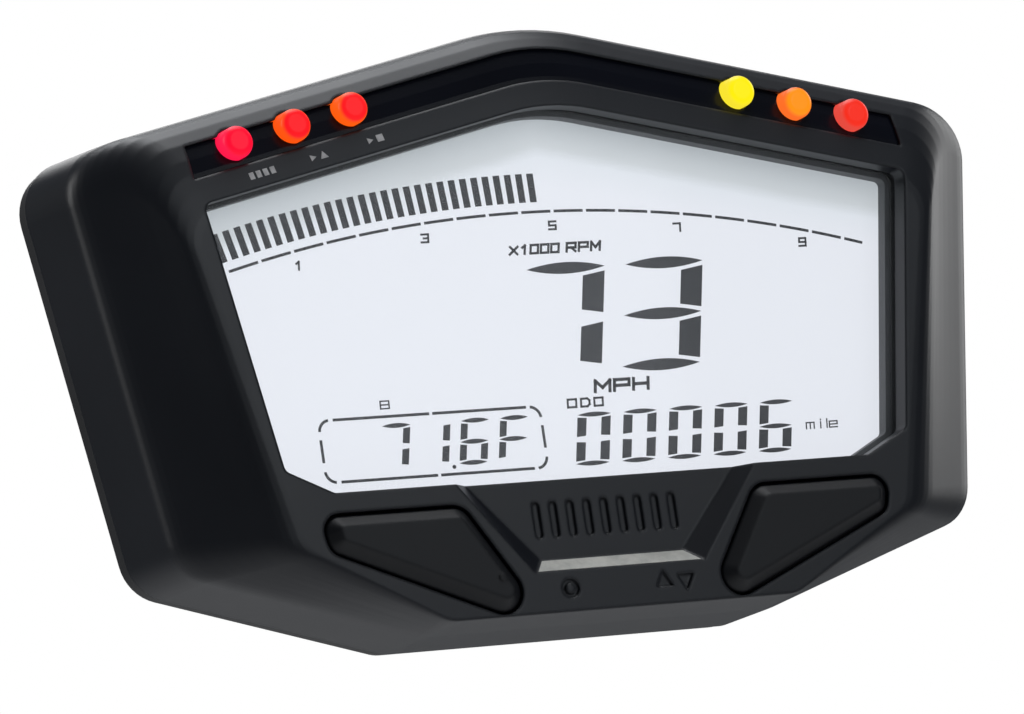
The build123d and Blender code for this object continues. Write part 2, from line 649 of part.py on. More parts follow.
def lead_places():
    """Centres of the two leads behind every lamp."""
    return [(x + side * LEAD_PITCH / 2, z) for x, z in lamp_places() for side in (-1, 1)]


def lamp_leads():
    return [rod(x, z, LEAD_RADIUS, LAMP_FLANGE_BACK, BOARD_BACK + LEAD_TAIL)
            for x, z in lead_places()]


def lamp_holder():
    """Spacer between the three right-hand lamps and the board."""
    low_peak = WINDOW_PEAK_Z + HOLDER_LOW
    high_peak = WINDOW_PEAK_Z + HOLDER_HIGH
    inner = LAMP_INNER_X - HOLDER_OVERHANG
    outer = LAMP_OUTER_X + HOLDER_OVERHANG
    points = [(outer, roof(high_peak, outer)), (inner, roof(high_peak, inner)),
              (inner, roof(low_peak, inner)), (outer, roof(low_peak, outer))]
    outline = Sketch() + make_face(Polyline(*points, close=True))
    for x, z in lamp_places()[LAMPS_PER_SIDE:]:
        outline -= Pos(x, z) * SlotOverall(HOLDER_SLOT_LENGTH, HOLDER_SLOT_WIDTH)
    return prism(outline, LAMP_FLANGE_BACK, BOARD_DEPTH)


# ------------------------------------------------------------------ main board
def main_board():
    def hole(x, z, radius):
        return rod(x, z, radius, BOARD_DEPTH - 1, BOARD_BACK + 1)

    board = prism(BOARD_OUTLINE, BOARD_DEPTH, BOARD_BACK)
    for x, z in case_screw_places():
        board -= hole(x, z, BOSS_RADIUS + BOARD_BOSS_GAP)
    for x, z in board_screw_places():
        board -= hole(x, z, BOARD_SCREW_RADIUS + FIT_GAP)
    for x, z in lead_places():
        board -= hole(x, z, LEAD_RADIUS)
    for x, z in pin_places():
        board -= hole(x, z, PIN_RADIUS)
    return board


def board_screws():
    """Pan-head screws that hold the board to the bezel posts."""
    screws = []
    for x, z in board_screw_places():
        head = rod(x, z, BOARD_SCREW_HEAD_RADIUS, BOARD_BACK, BOARD_BACK + BOARD_SCREW_HEAD)
        head = fillet(head.edges().sort_by(Axis.Y)[-1], BOARD_SCREW_ROUNDING)
        shank = rod(x, z, BOARD_SCREW_RADIUS, BOARD_BACK - BOARD_SCREW_LENGTH, BOARD_BACK)
        screws.append(head + shank)
    return screws


def board_chip(x, z, width, height, thickness):
    """Flat component on the rear of the board, with a chamfered top."""
    body = prism(Pos(x, z) * Rectangle(width, height), BOARD_BACK, BOARD_BACK + thickness)
    return chamfer(body.faces().sort_by(Axis.Y)[-1].edges(), CHIP_CHAMFER)


def supply_capacitors():
    """Two can capacitors beside the voltage regulator."""
    cans = []
    for x in (CAPACITOR_X, CAPACITOR_X - CAPACITOR_PITCH):
        can = rod(x, CAPACITOR_Z, CAPACITOR_RADIUS, BOARD_BACK, BOARD_BACK + CAPACITOR_HEIGHT)
        cans.append(fillet(can.edges().sort_by(Axis.Y)[-1], CAPACITOR_ROUNDING))
    return cans


def chip_resistors():
    """Rows of small surface-mount parts above and below the controller."""
    first_x = CHIPS["controller_chip"][0] - RESISTOR_PITCH * (RESISTOR_COUNT - 1) / 2
    parts = []
    for z in RESISTOR_ROWS:
        for i in range(RESISTOR_COUNT):
            place = Pos(first_x + RESISTOR_PITCH * i, z)
            outline = place * Rectangle(RESISTOR_WIDTH, RESISTOR_HEIGHT)
            parts.append(prism(outline, BOARD_BACK, BOARD_BACK + RESISTOR_THICKNESS))
    return parts


# ---------------------------------------------------------------------- buttons
def button_cap():
    """Right-hand rubber button with its hidden flange and pusher."""
    skirt = grown(BUTTON, -BUTTON_GAP)
    crown = grown(skirt, -BUTTON_CROWN_SLOPE)
    flange_front = LIP_DEPTH + BUTTON_FLANGE_GAP
    flange_back = flange_front + BUTTON_FLANGE_THICKNESS
    cap = transition(crown, -BUTTON_CROWN, skirt, BUTTON_SKIRT_DEPTH)
    cap += prism(skirt, BUTTON_SKIRT_DEPTH, flange_back)
    flange = grown(BUTTON, BUTTON_FLANGE) & grown(FACE, -CAVITY_FACE_INSET - BUTTON_GAP)
    cap += prism(flange, flange_front, flange_back)
    cap += rod(POST_X, POST_Z, POST_RADIUS, flange_back, PLUNGER_FRONT)
    return cap


def index_dot():
    """Small raised dot near the toe of the left-hand button."""
    return rod(-INDEX_DOT_X, BOTTOM_Z + INDEX_DOT_RISE, INDEX_DOT_RADIUS,
               -BUTTON_CROWN - INDEX_DOT_HEIGHT, -BUTTON_CROWN)


# -------------------------------------------------------------- push switches
def switch_body():
    """Square push switch on the board, with a well for its plunger."""
    outline = Pos(POST_X, POST_Z) * RectangleRounded(SWITCH_SIZE, SWITCH_SIZE, SWITCH_CORNER)
    body = prism(outline, SWITCH_FRONT, BOARD_DEPTH)
    well = BUTTON_TRAVEL + PLUNGER_INSERTION + PLUNGER_GAP
    return body - rod(POST_X, POST_Z, PLUNGER_RADIUS + PLUNGER_GAP, SWITCH_FRONT - 1,
                      SWITCH_FRONT + well)


def switch_plunger():
    return rod(POST_X, POST_Z, PLUNGER_RADIUS, PLUNGER_FRONT, SWITCH_FRONT + PLUNGER_INSERTION)


# ------------------------------------------------------------------ rear cover
def cover_form(inset):
    """Raised part of the cover, from its flange to the rear face."""
    return transition(grown(RIM, -COVER_STEP - inset), GASKET_BACK,
                      grown(REAR, -inset), CASE_DEPTH - inset)


def rear_cover():
    cover = prism(grown(RIM, -COVER_EDGE), GASKET_BACK, FLANGE_BACK)
    cover += cover_form(0)
    spigot = grown(RIM, -WALL - SPIGOT_GAP - SIDE_DRAFT)
    cover += prism(spigot, FRONT_SHELL_DEPTH - SPIGOT_LENGTH, GASKET_BACK)
    cover -= prism(grown(spigot, -SPIGOT_WALL), FRONT_SHELL_DEPTH - SPIGOT_LENGTH, GASKET_BACK)
    cover -= cover_form(WALL)

    columns = Part()
    for x, z in case_screw_places():
        columns += rod(x, z, BOSS_RADIUS + WALL, BOSS_END_DEPTH, CASE_DEPTH)
    for x in MOUNT_XS:
        columns += rod(x, 0, INSERT_BOSS_RADIUS, CASE_DEPTH - INSERT_LENGTH - WALL, CASE_DEPTH)
    envelope = prism(spigot, BOSS_END_DEPTH, GASKET_BACK) + cover_form(0)
    cover += columns & envelope

    for x, z in case_screw_places():
        cover -= rod(x, z, CASE_SCREW_RADIUS + FIT_GAP, BOSS_END_DEPTH - 1, CASE_DEPTH)
        counterbore_radius = CASE_SCREW_HEAD_RADIUS + COUNTERBORE_GAP
        cover -= rod(x, z, counterbore_radius, SCREW_SEAT_DEPTH, CASE_DEPTH + 1)
    for x in MOUNT_XS:
        cover -= rod(x, 0, INSERT_RADIUS, CASE_DEPTH - INSERT_LENGTH, CASE_DEPTH + 1)
    cover -= prism(grown(socket_outline(), SOCKET_SEAL_WIDTH), BOARD_BACK, CASE_DEPTH + 1)
    cover -= rod(VENT_X, VENT_Z, VENT_RADIUS, CASE_DEPTH - VENT_CAP_HEIGHT, CASE_DEPTH + 1)
    cover -= rod(VENT_X, VENT_Z, VENT_RADIUS - VENT_SEAT, CASE_DEPTH - 2 * WALL, CASE_DEPTH + 1)
    return cover


def cover_gasket():
    return ring(grown(RIM, -COVER_EDGE), GASKET_WIDTH, FRONT_SHELL_DEPTH, GASKET_BACK)


def cover_screws():
    """Socket-head screws from the rear cover into the bezel bosses."""
    screws = []
    for x, z in case_screw_places():
        head_back = SCREW_SEAT_DEPTH + CASE_SCREW_HEAD
        head = rod(x, z, CASE_SCREW_HEAD_RADIUS, SCREW_SEAT_DEPTH, head_back)
        socket = Pos(x, z) * RegularPolygon(CASE_SCREW_SOCKET_RADIUS, 6)
        head -= prism(socket, head_back - CASE_SCREW_SOCKET_DEPTH, head_back + 1)
        tip = SCREW_SEAT_DEPTH - CASE_SCREW_LENGTH
        shank = rod(x, z, CASE_SCREW_RADIUS, tip, SCREW_SEAT_DEPTH)
        screws.append(head + shank)
    return screws


def mounting_inserts():
    """Brass inserts that take the two mounting bolts."""
    inserts = []
    for x in MOUNT_XS:
        insert = rod(x, 0, INSERT_RADIUS, CASE_DEPTH - INSERT_LENGTH, CASE_DEPTH)
        insert -= rod(x, 0, INSERT_BORE_RADIUS, CASE_DEPTH - INSERT_LENGTH, CASE_DEPTH)
        inserts.append(insert)
    return inserts


# --------------------------------------------------------------- wiring socket
def socket_outline():
    rectangle = RectangleRounded(2 * SOCKET_HALF_WIDTH, SOCKET_HEIGHT, SOCKET_CORNER)
    return Pos(0, -SOCKET_DROP) * rectangle


def wiring_socket():
    body = prism(socket_outline(), BOARD_BACK, CASE_DEPTH)
    opening = grown(socket_outline(), -SOCKET_WALL)
    body -= prism(opening, CASE_DEPTH - SOCKET_DEPTH, CASE_DEPTH)
    for x, z in pin_places():
        body -= rod(x, z, PIN_RADIUS, BOARD_BACK, CASE_DEPTH)
    return body


def pin_places():
    first_x = -PIN_PITCH * (PIN_COLUMNS - 1) / 2
    first_z = -SOCKET_DROP - PIN_PITCH * (PIN_ROWS - 1) / 2
    return [(first_x + PIN_PITCH * i, first_z + PIN_PITCH * j)
            for i in range(PIN_COLUMNS) for j in range(PIN_ROWS)]


def socket_pins():
    tip = CASE_DEPTH - PIN_TIP_INSET
    return [rod(x, z, PIN_RADIUS, BOARD_DEPTH, tip) for x, z in pin_places()]


def socket_seal():
    outline = grown(socket_outline(), SOCKET_SEAL_WIDTH)
    return prism(outline - socket_outline(), CASE_DEPTH - WALL, CASE_DEPTH)


# ------------------------------------------------------------------------ vent
def vent_membrane():
    front = CASE_DEPTH - VENT_CAP_HEIGHT
    return rod(VENT_X, VENT_Z, VENT_RADIUS - FIT_GAP, front, front + MEMBRANE_THICKNESS)


def vent_cap():
    front = CASE_DEPTH - VENT_CAP_HEIGHT + MEMBRANE_THICKNESS
    cap = rod(VENT_X, VENT_Z, VENT_RADIUS, front, CASE_DEPTH)
    for i in range(VENT_HOLE_COUNT):
        turn = Rot(0, 0, 360 / VENT_HOLE_COUNT * i)
        place = Pos(VENT_X, VENT_Z) * turn * Pos(VENT_RADIUS / 2, 0)
        cap -= prism(place * Circle(VENT_HOLE_RADIUS), front - 1, CASE_DEPTH + 1)
    return cap


# ----------------------------------------------------------------------- parts
def build():
    cap = button_cap()
    body = switch_body()
    plunger = switch_plunger()
    holder = lamp_holder()
    parts = {
        "front_bezel": front_bezel(),
        "window_lens": window_lens(),
        "lens_seal": lens_seal(),
        "display_frame": display_frame(),
        "display_glass_front": prism(GLASS_OUTLINE, GLASS_FRONT, GLASS_FRONT + GLASS_SHEET),
        "display_glass_rear": prism(GLASS_OUTLINE, GLASS_FRONT + GLASS_SHEET, GLASS_BACK),
        "front_diffuser_film": backlight_film(GLASS_BACK),
        "light_guide": prism(GUIDE_OUTLINE, DIFFUSER_BACK, GUIDE_BACK),
        "rear_diffuser_film": backlight_film(GUIDE_BACK),
        "contact_strip": contact_strip(),
        "backlight_lamps": backlight_lamps(),
        "indicator_strip": indicator_strip(),
        "lamp_leads": lamp_leads(),
        "lamp_holder_right": holder,
        "lamp_holder_left": mirror_x(holder),
        "main_board": main_board(),
        "board_screws": board_screws(),
        "supply_capacitors": supply_capacitors(),
        "chip_resistors": chip_resistors(),
        "adjust_button": cap,
        "select_button": mirror_x(cap) + index_dot(),
        "adjust_switch_body": body,
        "select_switch_body": mirror_x(body),
        "adjust_switch_plunger": plunger,
        "select_switch_plunger": mirror_x(plunger),
        "rear_cover": rear_cover(),
        "cover_gasket": cover_gasket(),
        "cover_screws": cover_screws(),
        "mounting_inserts": mounting_inserts(),
        "wiring_socket": wiring_socket(),
        "socket_pins": socket_pins(),
        "socket_seal": socket_seal(),
        "vent_membrane": vent_membrane(),
        "vent_cap": vent_cap(),
    }
    for name, sizes in CHIPS.items():
        parts[name] = board_chip(*sizes)
    for number, (x, z) in enumerate(lamp_places(), start=1):
        parts[f"indicator_lamp_{number}"] = indicator_lamp(x, z)
    return parts


def write(parts):
    os.makedirs("parts", exist_ok=True)
    for name, shape in parts.items():
        solids = []
        for piece in shape if isinstance(shape, list) else [shape]:
            solids.extend(piece.solids())
        export_step(Compound(solids) if len(solids) > 1 else solids[0], f"parts/{name}.step")


write(build())
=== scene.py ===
import json
import math

import bmesh
import bpy
from mathutils import Matrix, Vector
from mathutils.bvhtree import BVHTree

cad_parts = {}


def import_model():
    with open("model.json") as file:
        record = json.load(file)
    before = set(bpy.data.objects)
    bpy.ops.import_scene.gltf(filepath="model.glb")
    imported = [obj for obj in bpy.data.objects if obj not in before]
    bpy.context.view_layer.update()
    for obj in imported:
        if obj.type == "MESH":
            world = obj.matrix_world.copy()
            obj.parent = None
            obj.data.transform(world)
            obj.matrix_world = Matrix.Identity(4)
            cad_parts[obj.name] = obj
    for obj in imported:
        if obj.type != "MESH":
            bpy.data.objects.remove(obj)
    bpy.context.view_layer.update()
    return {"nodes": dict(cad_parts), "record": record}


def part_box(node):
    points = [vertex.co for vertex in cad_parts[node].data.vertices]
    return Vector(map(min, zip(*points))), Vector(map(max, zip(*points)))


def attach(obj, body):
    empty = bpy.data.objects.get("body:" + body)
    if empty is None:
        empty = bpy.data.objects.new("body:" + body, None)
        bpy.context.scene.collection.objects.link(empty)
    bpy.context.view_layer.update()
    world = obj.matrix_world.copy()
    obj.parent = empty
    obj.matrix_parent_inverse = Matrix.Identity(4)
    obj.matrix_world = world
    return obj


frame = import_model()

# The frame is in metres: X to the rider's right, Y into the dashboard, Z up.
MM = 0.001
CASE = "case"
GLASS_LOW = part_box("display_glass_front")[0]
CASE_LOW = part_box("front_bezel")[0]
GLASS_MARGIN = 1.0 * MM               # glass larger than the window all round
WINDOW_SILL = GLASS_LOW.z + GLASS_MARGIN
ROOF_SLOPE = 14.5 / 64.8              # fall of the window's upper edges
ROOF_PEAK = WINDOW_SILL + 47.9 * MM   # where those edges would meet
PAINTED_SHADOW_DEPTH = 9.5 * MM                # painted shadow below the window's upper edges
PAINTED_SHADOW_WOBBLE = 1.5 * MM               # how much the depth of that painted shadow varies
LAMP_RADIUS = 2.05 * MM

# ------------------------------------------------------------------ display sizes
# The display is drawn in millimetres: x from the middle, z up from the window's sill.
INK_HEIGHT = 0.05 * MM                # segments stand this far in front of the glass
LEAN = 0.2                            # italic lean of digits and letters
ARC_CENTRE_X = -1.0
ARC_RADIUS = 176.0                    # dial arc
ARC_TOP = 34.95                       # its highest point above the sill
BAR_GAP = 1.25                        # dial arc to the foot of the bars
BAR_LENGTH = 3.7
BAR_WIDTH = 0.93
BAR_PITCH = 1.57
BAR_COUNT = 29
BAR_LAST_X = -1.25
DASH_LINE = 0.36
DASH_PITCH = 4.62
DASH_GAP = 0.85
DASH_STEPS = 3                        # straight pieces in each dash of the dial arc
DIAL_LEFT = -44.6
DIAL_RIGHT = 45.4
DIAL_NUMBERS = {
    "1": (-35.3, 29.7),
    "3": (-17.3, 32.3),
    "5": (0.9, 33.1),
    "7": (18.7, 32.0),
    "9": (36.7, 29.2),
}


# ---------------------------------------------------------------- material helpers
GRAIN_DEPTH = 0.2 * MM
METAL_GRAIN_DEPTH = 0.1 * MM


def new_material(name):
    """Material with one Principled shader: returns the material, its tree and the shader."""
    material = bpy.data.materials.new(name)
    material.use_nodes = True
    tree = material.node_tree
    tree.nodes.clear()
    output = tree.nodes.new("ShaderNodeOutputMaterial")
    shader = tree.nodes.new("ShaderNodeBsdfPrincipled")
    tree.links.new(shader.outputs["BSDF"], output.inputs["Surface"])
    return material, tree, shader


def noise(tree, scale, detail=4.0, roughness=0.55):
    """Noise value that is fixed to the object."""
    coordinates = tree.nodes.new("ShaderNodeTexCoord")
    texture = tree.nodes.new("ShaderNodeTexNoise")
    texture.inputs["Scale"].default_value = scale
    texture.inputs["Detail"].default_value = detail
    texture.inputs["Roughness"].default_value = roughness
    tree.links.new(coordinates.outputs["Object"], texture.inputs["Vector"])
    return texture.outputs["Fac"]


def ramp(tree, value, stops):
    """Colour ramp over (position, colour) stops."""
    node = tree.nodes.new("ShaderNodeValToRGB")
    elements = node.color_ramp.elements
    while len(elements) < len(stops):
        elements.new(0.5)
    for element, (position, colour) in zip(elements, stops):
        element.position = position
        element.color = (*colour, 1.0)
    tree.links.new(value, node.inputs["Fac"])
    return node.outputs["Color"]


def spread(tree, value, low, high):
    """Maps a 0 to 1 value to low to high."""
    node = tree.nodes.new("ShaderNodeMapRange")
    node.inputs["To Min"].default_value = low
    node.inputs["To Max"].default_value = high
    tree.links.new(value, node.inputs["Value"])
    return node.outputs["Result"]


def bump(tree, shader, height, strength, distance, edge_radius=0.0):
    """Surface relief from a height value, with edges rounded by edge_radius."""
    node = tree.nodes.new("ShaderNodeBump")
    node.inputs["Strength"].default_value = strength
    node.inputs["Distance"].default_value = distance
    tree.links.new(height, node.inputs["Height"])
    if edge_radius:
        bevel = tree.nodes.new("ShaderNodeBevel")
        bevel.samples = 6
        bevel.inputs["Radius"].default_value = edge_radius
        tree.links.new(bevel.outputs["Normal"], node.inputs["Normal"])
    tree.links.new(node.outputs["Normal"], shader.inputs["Normal"])


def moulded(name, dark, light, rough, grain=900.0, relief=0.02, edge_radius=0.0, gloss=0.5):
    """Moulded plastic or rubber: slight colour drift, fine grain and uneven gloss."""
    material, tree, shader = new_material(name)
    drift = noise(tree, 35.0, 3.0)
    fine = noise(tree, grain, 6.0, 0.7)
    tree.links.new(ramp(tree, drift, [(0.3, dark), (0.7, light)]), shader.inputs["Base Color"])
    tree.links.new(spread(tree, drift, rough - 0.05, rough + 0.05), shader.inputs["Roughness"])
    bump(tree, shader, fine, relief, GRAIN_DEPTH, edge_radius)
    shader.inputs["Specular IOR Level"].default_value = gloss
    return material


def metal(name, dark, light, rough, grain=400.0):
    """Bare or plated metal with uneven colour and polish."""
    material, tree, shader = new_material(name)
    shader.inputs["Metallic"].default_value = 1.0
    drift = noise(tree, grain, 5.0)
    tree.links.new(ramp(tree, drift, [(0.35, dark), (0.65, light)]), shader.inputs["Base Color"])
    tree.links.new(spread(tree, drift, rough - 0.08, rough + 0.08), shader.inputs["Roughness"])
    bump(tree, shader, drift, 0.05, METAL_GRAIN_DEPTH)
    return material


def clear_lens():
    """Clear window: almost nothing but its reflections, with a trace of surface haze."""
    material, tree, shader = new_material("clear_lens")
    haze = noise(tree, 60.0)
    tree.links.new(spread(tree, haze, 0.02, 0.06), shader.inputs["Roughness"])
    shader.inputs["Base Color"].default_value = (0.9, 0.94, 0.98, 1.0)
    shader.inputs["Alpha"].default_value = 0.06
    return material


def display_face():
    """Glowing display with a painted shadow of the bezel: soft grey along its upper edges."""
    material, tree, shader = new_material("display_face")
    geometry = tree.nodes.new("ShaderNodeTexCoord")
    parts = tree.nodes.new("ShaderNodeSeparateXYZ")
    tree.links.new(geometry.outputs["Object"], parts.inputs["Vector"])

    def maths(operation, first, second):
        node = tree.nodes.new("ShaderNodeMath")
        node.operation = operation
        for socket, value in zip(node.inputs, (first, second)):
            if isinstance(value, float):
                socket.default_value = value
            else:
                tree.links.new(value, socket)
        return node.outputs["Value"]

    # Painted shadow of the bezel: grey that fades out with distance below the window's upper edges,
    # with a little random wobble.
    across = maths("MULTIPLY", maths("ABSOLUTE", parts.outputs["X"], 0.0), ROOF_SLOPE)
    below_roof = maths("SUBTRACT", ROOF_PEAK, maths("ADD", parts.outputs["Z"], across))
    wobble = maths("MULTIPLY", maths("SUBTRACT", noise(tree, 30.0), 0.5), PAINTED_SHADOW_WOBBLE)
    depth = maths("DIVIDE", maths("ADD", below_roof, wobble), PAINTED_SHADOW_DEPTH)
    colour = ramp(tree, depth, [(0.0, (0.42, 0.46, 0.49)), (0.45, (0.60, 0.64, 0.67)),
                                (0.62, (0.78, 0.82, 0.88)), (1.0, (0.84, 0.865, 0.93))])
    tree.links.new(colour, shader.inputs["Emission Color"])
    shader.inputs["Emission Strength"].default_value = 0.93
    shader.inputs["Base Color"].default_value = (0.10, 0.105, 0.11, 1.0)
    shader.inputs["Roughness"].default_value = 0.35
    return material


def display_ink():
    """Dark liquid-crystal segments, a little uneven in tone."""
    material, tree, shader = new_material("display_ink")
    tone = noise(tree, 220.0, 3.0)
    colour = ramp(tree, tone, [(0.3, (0.030, 0.028, 0.032)), (0.7, (0.045, 0.042, 0.047))])
    tree.links.new(colour, shader.inputs["Base Color"])
    shader.inputs["Roughness"].default_value = 0.5
    return material


def lamp_material(name, node, core, rim):
    """Lit lamp: even colour that changes near the rim of its domed end."""
    material, tree, shader = new_material(name)
    low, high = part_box(node)
    centre = (low + high) / 2
    coordinates = tree.nodes.new("ShaderNodeTexCoord")
    offset = tree.nodes.new("ShaderNodeVectorMath")
    offset.operation = "SUBTRACT"
    offset.inputs[1].default_value = (centre.x, 0.0, centre.z)
    flatten = tree.nodes.new("ShaderNodeVectorMath")
    flatten.operation = "MULTIPLY"
    flatten.inputs[1].default_value = (1.0, 0.0, 1.0)
    length = tree.nodes.new("ShaderNodeVectorMath")
    length.operation = "LENGTH"
    tree.links.new(coordinates.outputs["Object"], offset.inputs[0])
    tree.links.new(offset.outputs["Vector"], flatten.inputs[0])
    tree.links.new(flatten.outputs["Vector"], length.inputs[0])
    share = tree.nodes.new("ShaderNodeMath")
    share.operation = "DIVIDE"
    share.inputs[1].default_value = LAMP_RADIUS
    tree.links.new(length.outputs["Value"], share.inputs[0])
    colour = ramp(tree, share.outputs["Value"], [(0.0, core), (0.8, core), (0.97, rim)])
    tree.links.new(colour, shader.inputs["Emission Color"])
    shader.inputs["Base Color"].default_value = (0.02, 0.01, 0.01, 1.0)
    shader.inputs["Emission Strength"].default_value = 1.0
    shader.inputs["Roughness"].default_value = 0.35
    shader.inputs["Specular IOR Level"].default_value = 0.15
    return material


def circuit_board():
    """Green solder resist with a faint network of tracks."""
    material, tree, shader = new_material("circuit_board")
    coordinates = tree.nodes.new("ShaderNodeTexCoord")
    tracks = tree.nodes.new("ShaderNodeTexBrick")
    tracks.inputs["Scale"].default_value = 220.0
    tracks.inputs["Mortar Size"].default_value = 0.03
    tracks.inputs["Color1"].default_value = (0.010, 0.085, 0.035, 1.0)
    tracks.inputs["Color2"].default_value = (0.012, 0.100, 0.042, 1.0)
    tracks.inputs["Mortar"].default_value = (0.035, 0.190, 0.080, 1.0)
    turn = tree.nodes.new("ShaderNodeMapping")
    turn.inputs["Rotation"].default_value = (math.pi / 2, 0.0, 0.0)
    tree.links.new(coordinates.outputs["Object"], turn.inputs["Vector"])
    tree.links.new(turn.outputs["Vector"], tracks.inputs["Vector"])
    tree.links.new(tracks.outputs["Color"], shader.inputs["Base Color"])
    shader.inputs["Roughness"].default_value = 0.35
    return material


# ------------------------------------------------------------------------- materials
BLACK = (0.0040, 0.0050, 0.0082)
BLACK_LIGHT = (0.0064, 0.0077, 0.0118)
bezel_plastic = moulded("bezel_plastic", BLACK, BLACK_LIGHT, 0.40, edge_radius=0.6 * MM, gloss=0.4)
cover_plastic = moulded("cover_plastic", (0.009, 0.009, 0.010), (0.016, 0.016, 0.018), 0.55,
                        grain=1400.0, relief=0.06, edge_radius=0.4 * MM)
button_rubber = moulded("button_rubber", (0.0030, 0.0034, 0.0050), (0.0048, 0.0054, 0.0075), 0.5,
                        grain=1800.0, relief=0.05, edge_radius=0.7 * MM, gloss=0.35)
gloss_black = moulded("gloss_black", (0.0020, 0.0026, 0.0060), (0.0034, 0.0042, 0.0090), 0.22,
                      relief=0.004, gloss=0.2)
seal_rubber = moulded("seal_rubber", (0.006, 0.006, 0.006), (0.012, 0.012, 0.012), 0.7, relief=0.05)
frame_plastic = moulded("frame_plastic", (0.055, 0.056, 0.058), (0.08, 0.082, 0.085), 0.55)
socket_plastic = moulded("socket_plastic", (0.012, 0.012, 0.013), (0.02, 0.02, 0.022), 0.4)
switch_plastic = moulded("switch_plastic", (0.02, 0.02, 0.02), (0.03, 0.03, 0.03), 0.5)
chip_plastic = moulded("chip_plastic", (0.012, 0.012, 0.014), (0.02, 0.02, 0.023), 0.6)
plunger_plastic = moulded("plunger_plastic", (0.45, 0.45, 0.43), (0.55, 0.55, 0.53), 0.45)
white_film = moulded("white_film", (0.8, 0.82, 0.85), (0.88, 0.9, 0.93), 0.6)
clear_sheet = moulded("clear_sheet", (0.78, 0.82, 0.86), (0.86, 0.9, 0.93), 0.15)
striped_rubber = moulded("striped_rubber", (0.25, 0.10, 0.11), (0.35, 0.16, 0.17), 0.7)
lamp_phosphor = moulded("lamp_phosphor", (0.85, 0.83, 0.6), (0.95, 0.92, 0.7), 0.4)
membrane_film = moulded("membrane_film", (0.6, 0.6, 0.6), (0.72, 0.72, 0.72), 0.8, grain=3000.0)
tinned_metal = metal("tinned_metal", (0.55, 0.55, 0.53), (0.72, 0.72, 0.70), 0.3)
plated_steel = metal("plated_steel", (0.42, 0.42, 0.43), (0.60, 0.60, 0.61), 0.35)
black_steel = metal("black_steel", (0.03, 0.03, 0.032), (0.06, 0.06, 0.065), 0.4)
drawn_can = metal("drawn_can", (0.65, 0.65, 0.66), (0.8, 0.8, 0.81), 0.3)
turned_brass = metal("turned_brass", (0.55, 0.38, 0.16), (0.72, 0.54, 0.27), 0.28)
display_material = display_face()
ink = display_ink()

SLOT_MATERIALS = {
    "bezel_plastic": bezel_plastic,
    "clear_lens": clear_lens(),
    "seal_rubber": seal_rubber,
    "frame_plastic": frame_plastic,
    "display_glass": display_material,
    "diffuser": white_film,
    "light_guide": clear_sheet,
    "contact_rubber": striped_rubber,
    "backlight": lamp_phosphor,
    "gloss_black": gloss_black,
    "tinned_metal": tinned_metal,
    "board": circuit_board(),
    "steel": plated_steel,
    "black_steel": black_steel,
    "chip_body": chip_plastic,
    "aluminium_can": drawn_can,
    "button_rubber": button_rubber,
    "switch_body": switch_plastic,
    "switch_plunger": plunger_plastic,
    "cover_plastic": cover_plastic,
    "brass_insert": turned_brass,
    "socket_plastic": socket_plastic,
    "membrane": membrane_film,
}

# Colours of the middle and of the rim of each lamp, from left to right.
LAMP_COLOURS = [
    ((1.00, 0.000, 0.030), (1.00, 0.01, 0.07)),
    ((1.00, 0.006, 0.012), (1.00, 0.09, 0.004)),
    ((1.00, 0.008, 0.012), (1.00, 0.11, 0.004)),
    ((1.00, 0.86, 0.000), (0.95, 0.78, 0.03)),
    ((1.00, 0.30, 0.004), (1.00, 0.16, 0.02)),
    ((0.93, 0.026, 0.010), (0.80, 0.07, 0.05)),
]


def dress_cad_nodes():
    """Gives every CAD node the material of its slot."""
    slots = {entry["node"]: entry["material_slot"] for entry in frame["record"]["subparts"]}
    for name, node in frame["nodes"].items():
        if name.startswith("indicator_lamp_"):
            core, rim = LAMP_COLOURS[int(name[-1]) - 1]
            material = lamp_material(name + "_lit", name, core, rim)
        else:
            material = SLOT_MATERIALS[slots[name]]
        for index in range(max(1, len(node.material_slots))):
            if index < len(node.material_slots):
                node.material_slots[index].material = material
            else:
                node.data.materials.append(material)


